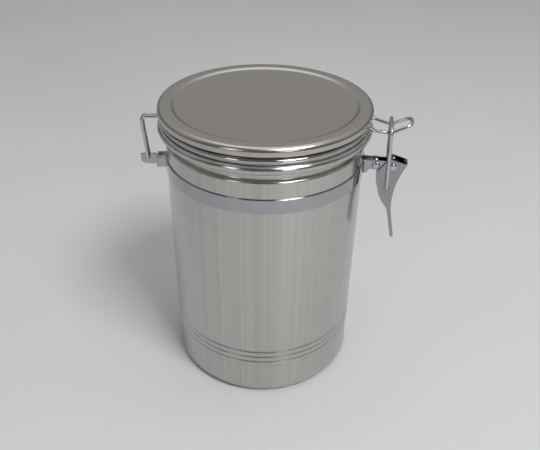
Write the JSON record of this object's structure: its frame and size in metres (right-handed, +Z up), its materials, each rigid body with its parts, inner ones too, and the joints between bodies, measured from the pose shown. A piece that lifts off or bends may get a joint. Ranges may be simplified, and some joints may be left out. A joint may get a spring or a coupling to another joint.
{
  "type": "food canister",
  "caption": "Cylindrical steel food canister with a hinged flat lid held by a wire hoop, a wire bail and an over-centre clamp lever.",
  "frame": {"origin": "middle of the foot ring, on the surface the canister stands on", "axes": "+Z up along the can's axis, +X towards the clamp lever; the lid hinge is 10.5 degrees round from -X, towards -Y"},
  "size_m": [0.1618, 0.128, 0.1823],
  "materials": {
    "brushed_body": "satin, fine brushing round the can",
    "satin_lid": "satin",
    "inner_steel": "plain drawn steel",
    "polished_strap": "polished",
    "chrome_wire": "bright plated",
    "silicone": "soft matt"
  },
  "bodies": {
    "can": {"body_shell": "brushed_body", "base_plate": "inner_steel", "clamp_strap": "polished_strap", "strap_bolt": "chrome_wire", "strap_nut": "chrome_wire", "lever_rivet": "chrome_wire", "hinge_bracket": "polished_strap", "hinge_rivet": "chrome_wire"},
    "lever": {"latch_lever": "polished_strap"},
    "bush": {"bail_bush": "inner_steel"},
    "bail": {"bail_wire": "chrome_wire"},
    "lid": {"lid_cap": "satin_lid", "lid_pan": "inner_steel", "gasket": "silicone", "hoop_wire": "chrome_wire"}
  },
  "joints": [
    {"name": "lever_turn", "type": "hinge", "parent": "can", "child": "lever", "pos_m": [0.0778, 0, 0.1472], "axis": [0, -1, 0], "range_deg": [0, 105]},
    {"name": "bail_lift", "type": "hinge", "parent": "lever", "child": "bush", "pos_m": [0.0758, 0, 0.1328], "axis": [0, -1, 0], "range_deg": [-70, 0]},
    {"name": "bail_swing", "type": "hinge", "parent": "bush", "child": "bail", "pos_m": [0.0758, 0, 0.1328], "axis": [0, 1, 0], "range_deg": [0, 88]},
    {"name": "lid_turn", "type": "hinge", "parent": "can", "child": "lid", "pos_m": [-0.0703, -0.01303, 0.1452], "axis": [0.1822, -0.9833, 0], "range_deg": [0, 110]}
  ],
  "couplings": [
    {"joint": "bail_lift", "follows": "lever_turn", "ratio": -0.66}
  ]
}
